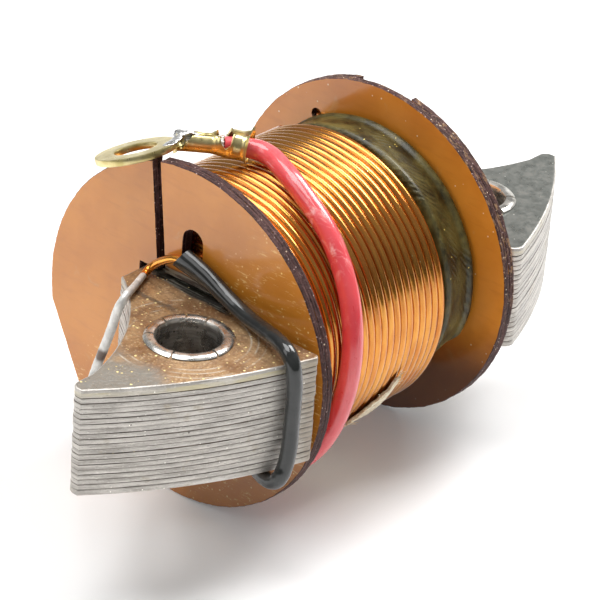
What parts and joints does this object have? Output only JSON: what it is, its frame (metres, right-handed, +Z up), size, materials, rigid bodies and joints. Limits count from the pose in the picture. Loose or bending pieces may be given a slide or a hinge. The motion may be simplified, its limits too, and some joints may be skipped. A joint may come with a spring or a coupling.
{
  "type": "ignition coil",
  "caption": "Magneto ignition coil: enamelled wire wound between round insulating flanges on a laminated steel core with winged pole shoes, an earth wire and a ring-terminal lead.",
  "frame": {"origin": "midway between the two fixing holes, in the plane of the rivet lips they seat on", "axes": "+X along the coil's axis away from the lead, -Y towards the pole faces, +Z up the lamination stack"},
  "size_m": [0.0722, 0.0369, 0.0364],
  "materials": {
    "lamination_steel": "stamped silicon steel edges, lightly oiled",
    "end_plate_steel": "stamped steel with brown varnish stains",
    "rivet_steel": "bright rolled steel",
    "insulating_paper": "pressed insulating paper",
    "laminate_board": "glossy resin-paper laminate with dark cut edges",
    "enamelled_copper": "copper wire under clear amber enamel",
    "bare_copper": "bare stranded copper",
    "varnished_sleeving": "flattened, varnished woven sleeving",
    "cotton_tape": "cream woven cotton tape with frayed edges",
    "red_insulation": "glossy flexible insulation",
    "terminal_brass": "bright pressed brass",
    "solder": "lumpy bright solder",
    "tinned_wire": "tinned copper wire",
    "black_sleeving": "glossy extruded sleeving"
  },
  "bodies": {
    "root": {"core_lamination_01": "lamination_steel", "core_lamination_02": "lamination_steel", "core_lamination_03": "lamination_steel", "core_lamination_04": "lamination_steel", "core_lamination_05": "lamination_steel", "core_lamination_06": "lamination_steel", "core_lamination_07": "lamination_steel", "core_lamination_08": "lamination_steel", "core_lamination_09": "lamination_steel", "core_lamination_10": "lamination_steel", "core_lamination_11": "lamination_steel", "core_lamination_12": "lamination_steel", "core_lamination_13": "lamination_steel", "core_lamination_14": "lamination_steel", "core_lamination_15": "lamination_steel", "core_lamination_16": "lamination_steel", "core_lamination_17": "lamination_steel", "core_lamination_18": "lamination_steel", "core_end_plate_bottom": "end_plate_steel", "core_end_plate_top": "end_plate_steel", "tube_rivet_near": "rivet_steel", "tube_rivet_far": "rivet_steel", "core_insulation": "insulating_paper", "flange_near_outer": "laminate_board", "flange_near_inner": "laminate_board", "flange_far_inner": "laminate_board", "flange_far_outer": "laminate_board", "inner_winding": "enamelled_copper", "layer_paper": "insulating_paper", "outer_winding_layer_1": "enamelled_copper", "outer_winding_layer_2": "enamelled_copper", "outer_winding_layer_3": "enamelled_copper", "outer_winding_layer_4": "enamelled_copper", "end_sleeve": "varnished_sleeving", "tapping_wire": "enamelled_copper", "cloth_tape": "cotton_tape", "output_lead": "red_insulation", "lead_joint": "cotton_tape", "ring_terminal": "terminal_brass", "terminal_solder": "solder", "lead_strands": "bare_copper", "earth_sleeve": "black_sleeving", "earth_wire": "enamelled_copper", "earth_wire_tail": "tinned_wire", "earth_solder": "solder"}
  },
  "joints": []
}
